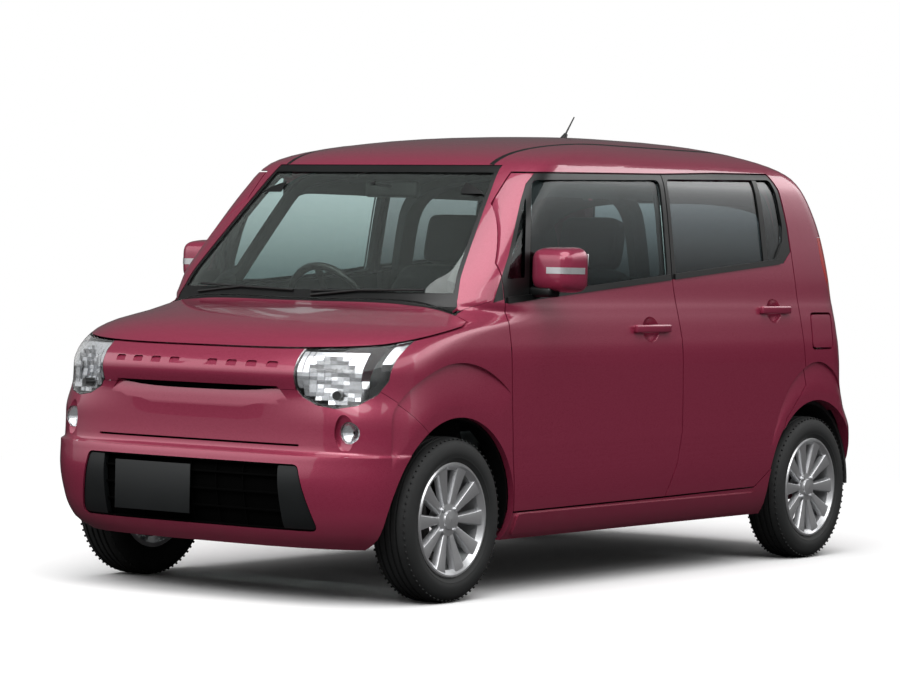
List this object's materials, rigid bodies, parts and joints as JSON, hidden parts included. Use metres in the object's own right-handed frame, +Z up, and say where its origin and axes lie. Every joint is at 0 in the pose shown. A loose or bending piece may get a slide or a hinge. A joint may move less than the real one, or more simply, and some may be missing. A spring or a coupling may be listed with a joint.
{
  "type": "kei car",
  "caption": "Small tall-bodied city car with hinged side doors, hood, tailgate and fuel lid, steered front wheels and a furnished cabin.",
  "frame": {"origin": "on the ground, at the middle of the car's length and width", "axes": "+Z up, -Y towards the front of the car, +X towards the car's left side"},
  "size_m": [1.7428, 3.395, 1.7173],
  "materials": {
    "paint": "metallic gloss",
    "black_trim": "satin",
    "grey_trim": "grained",
    "clear_glass": "polished",
    "dark_glass": "tinted",
    "lamp_chrome": "mirror",
    "lamp_clear": "clear",
    "lamp_red": "clear red",
    "steel": "coated",
    "cast": "cast",
    "seat_cloth": "woven",
    "alloy": "silver lacquer",
    "tyre": "matte"
  },
  "bodies": {
    "body": {"floor_pan": "steel", "side_frame_left": "paint", "side_frame_right": "paint", "roof_panel": "paint", "windscreen": "clear_glass", "cowl_panel": "black_trim", "front_fender_left": "paint", "front_fender_right": "paint", "front_bumper": "paint", "front_garnish": "paint", "lower_grille": "black_trim", "headlamp_bowls": "lamp_chrome", "headlamp_lenses": "lamp_clear", "position_lamps": "lamp_clear", "rear_bumper": "paint", "tail_lamps": "lamp_red", "hinges": "steel", "dashboard": "grey_trim", "front_seat_left": "seat_cloth", "front_seat_right": "seat_cloth", "rear_seat": "seat_cloth", "engine_block": "cast", "front_suspension": "cast", "rear_axle": "cast", "exhaust": "steel", "antenna": "black_trim", "interior_mirror": "black_trim", "front_wipers": "black_trim"},
    "hood": {"hood": "paint"},
    "tailgate": {"tailgate": "paint", "tailgate_glass": "dark_glass", "rear_wiper": "black_trim"},
    "fuel_lid": {"fuel_lid": "paint"},
    "steering_wheel": {"steering_wheel": "black_trim"},
    "front_door_left": {"front_door_left": "paint", "front_glass_left": "clear_glass", "mirror_left": "paint"},
    "rear_door_left": {"rear_door_left": "paint", "rear_glass_left": "dark_glass"},
    "knuckle_left": {"knuckle_left": "cast"},
    "wheel_front_left": {"tyre_front_left": "tyre", "rim_front_left": "alloy"},
    "wheel_rear_left": {"tyre_rear_left": "tyre", "rim_rear_left": "alloy"},
    "front_door_right": {"front_door_right": "paint", "front_glass_right": "clear_glass", "mirror_right": "paint"},
    "rear_door_right": {"rear_door_right": "paint", "rear_glass_right": "dark_glass"},
    "knuckle_right": {"knuckle_right": "cast"},
    "wheel_front_right": {"tyre_front_right": "tyre", "rim_front_right": "alloy"},
    "wheel_rear_right": {"tyre_rear_right": "tyre", "rim_rear_right": "alloy"}
  },
  "joints": [
    {"name": "front_door_left_hinge", "type": "hinge", "parent": "body", "child": "front_door_left", "pos_m": [0.7255, -0.8145, 0.6], "axis": [0, 0, -1], "range_deg": [0, 65]},
    {"name": "rear_door_left_hinge", "type": "hinge", "parent": "body", "child": "rear_door_left", "pos_m": [0.7255, 0.2695, 0.6], "axis": [0, 0, -1], "range_deg": [0, 65]},
    {"name": "front_door_right_hinge", "type": "hinge", "parent": "body", "child": "front_door_right", "pos_m": [-0.7255, -0.8145, 0.6], "axis": [0, 0, 1], "range_deg": [0, 65]},
    {"name": "rear_door_right_hinge", "type": "hinge", "parent": "body", "child": "rear_door_right", "pos_m": [-0.7255, 0.2695, 0.6], "axis": [0, 0, 1], "range_deg": [0, 65]},
    {"name": "hood_hinge", "type": "hinge", "parent": "body", "child": "hood", "pos_m": [0, -0.9625, 0.958], "axis": [-1, 0, 0], "range_deg": [0, 45]},
    {"name": "tailgate_hinge", "type": "hinge", "parent": "body", "child": "tailgate", "pos_m": [0, 1.2175, 1.52], "axis": [1, 0, 0], "range_deg": [0, 80]},
    {"name": "fuel_lid_hinge", "type": "hinge", "parent": "body", "child": "fuel_lid", "pos_m": [0.712, 1.2615, 0.895], "axis": [0, 0, -1], "range_deg": [0, 80]},
    {"name": "steer_left", "type": "hinge", "parent": "body", "child": "knuckle_left", "pos_m": [0.5915, -1.1625, 0.2785], "axis": [-0.2164, 0, 0.9763], "range_deg": [-35, 35]},
    {"name": "steer_right", "type": "hinge", "parent": "body", "child": "knuckle_right", "pos_m": [-0.5915, -1.1625, 0.2785], "axis": [0.2164, 0, 0.9763], "range_deg": [-35, 35]},
    {"name": "steering_wheel_turn", "type": "hinge", "parent": "body", "child": "steering_wheel", "pos_m": [-0.31, -0.5225, 0.96], "axis": [0, 0.8829, 0.4695], "range_deg": [-560, 560]},
    {"name": "wheel_front_left_spin", "type": "hinge", "parent": "knuckle_left", "child": "wheel_front_left", "pos_m": [0.6475, -1.1625, 0.2785], "axis": [1, 0, 0], "continuous": true},
    {"name": "wheel_rear_left_spin", "type": "hinge", "parent": "body", "child": "wheel_rear_left", "pos_m": [0.6475, 1.2625, 0.2785], "axis": [1, 0, 0], "continuous": true},
    {"name": "wheel_front_right_spin", "type": "hinge", "parent": "knuckle_right", "child": "wheel_front_right", "pos_m": [-0.6475, -1.1625, 0.2785], "axis": [1, 0, 0], "continuous": true},
    {"name": "wheel_rear_right_spin", "type": "hinge", "parent": "body", "child": "wheel_rear_right", "pos_m": [-0.6475, 1.2625, 0.2785], "axis": [1, 0, 0], "continuous": true}
  ],
  "couplings": [
    {"joint": "steer_right", "follows": "steer_left", "ratio": 1},
    {"joint": "steering_wheel_turn", "follows": "steer_left", "ratio": 16}
  ]
}
